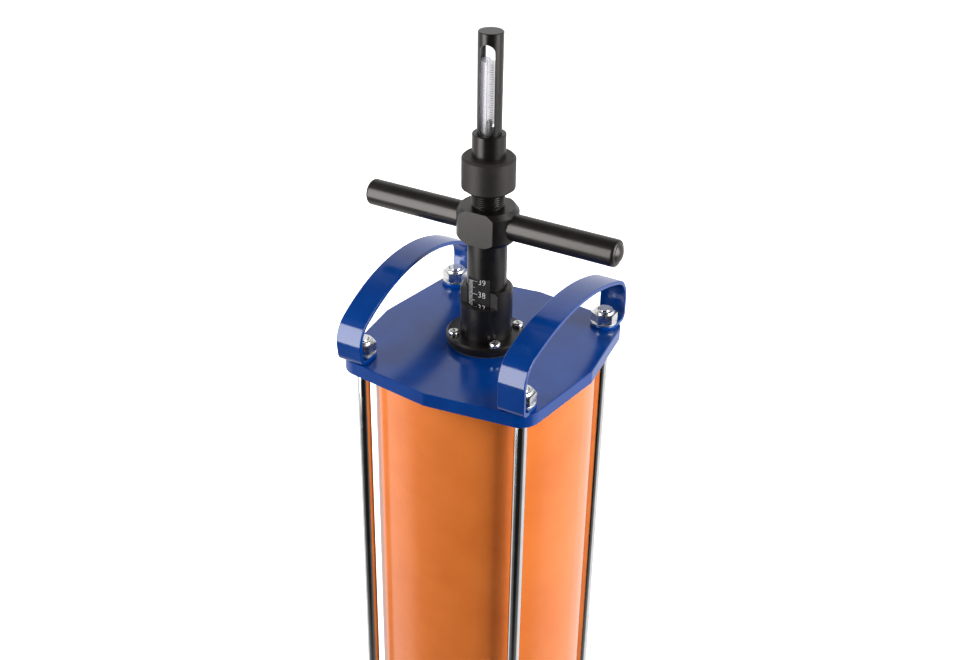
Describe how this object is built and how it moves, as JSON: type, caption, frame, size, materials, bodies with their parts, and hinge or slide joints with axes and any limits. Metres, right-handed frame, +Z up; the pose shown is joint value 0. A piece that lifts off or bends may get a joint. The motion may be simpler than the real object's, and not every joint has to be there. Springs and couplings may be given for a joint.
{
  "type": "hydraulic hand pump",
  "caption": "Hand-driven piston pump: a T-handle pushes a graduated rod and piston through a cylinder held between two plates by tie rods, with a slotted pressure gauge on top.",
  "frame": {"origin": "centre of the clamp ring's underside, on the piston rod's axis, at floor level", "axes": "+Z up along the piston rod; the handle bars lie along X; the reading window faces -Y"},
  "size_m": [0.1986, 0.1698, 0.6861],
  "materials": {
    "blue_paint": "semi-gloss powder coat",
    "bright_steel": "polished",
    "zinc_steel": "bright zinc plate",
    "nylon": "natural nylon",
    "orange_tube": "glossy",
    "black_oxide": "black oxide, oiled",
    "gasket_rubber": "matte",
    "bush_plastic": "machined acetal",
    "felt": "felt",
    "strip_black": "satin printed strip",
    "piston_metal": "turned",
    "seal_rubber": "satin",
    "band_plastic": "filled resin",
    "ring_metal": "turned",
    "membrane_rubber": "natural rubber sheet",
    "brass": "turned",
    "clear_acrylic": "clear acrylic",
    "scale_white": "white printed strip",
    "plunger_black": "glossy moulding",
    "spring_steel": "drawn wire"
  },
  "bodies": {
    "pump_frame": {"top_plate": "blue_paint", "bottom_plate": "blue_paint", "left_handle": "blue_paint", "right_handle": "blue_paint", "cylinder_tube": "orange_tube", "upper_cylinder_gasket": "gasket_rubber", "lower_cylinder_gasket": "gasket_rubber", "tie_rods": "bright_steel", "upper_washers": "zinc_steel", "lock_nuts": "zinc_steel", "lock_nut_inserts": "nylon", "lower_washers": "zinc_steel", "lower_nuts": "zinc_steel", "membrane": "membrane_rubber", "membrane_clamp_ring": "ring_metal", "clamp_ring_screws": "zinc_steel", "guide_collar": "black_oxide", "collar_gasket": "gasket_rubber", "collar_screws": "zinc_steel", "rod_bush": "bush_plastic", "rod_wiper": "felt"},
    "piston_and_handle": {"piston_rod": "black_oxide", "rod_scale_strip": "strip_black", "piston": "piston_metal", "piston_seals": "seal_rubber", "piston_wear_band": "band_plastic", "backing_washer": "zinc_steel", "rod_nut": "zinc_steel", "piston_o_ring": "seal_rubber", "handle_hub": "black_oxide", "left_handle_bar": "black_oxide", "right_handle_bar": "black_oxide", "gauge_stub": "black_oxide", "coupling_ring": "black_oxide", "gauge_sleeve": "black_oxide", "gauge_joint_seal": "seal_rubber", "gauge_guard": "black_oxide", "sight_tube": "clear_acrylic", "gauge_scale": "scale_white", "gauge_liner": "brass", "gauge_spring": "spring_steel"},
    "gauge_indicator": {"gauge_plunger": "plunger_black", "plunger_seal": "seal_rubber"}
  },
  "joints": [
    {"name": "rod_slide", "type": "slide", "parent": "pump_frame", "child": "piston_and_handle", "axis": [0, 0, 1], "range_m": [-0.021, 0.369]},
    {"name": "gauge_slide", "type": "slide", "parent": "piston_and_handle", "child": "gauge_indicator", "axis": [0, 0, 1], "range_m": [0, 0.028], "stiffness_N_per_m": 60, "springref_m": -0.008, "deforming": ["gauge_spring"]}
  ]
}
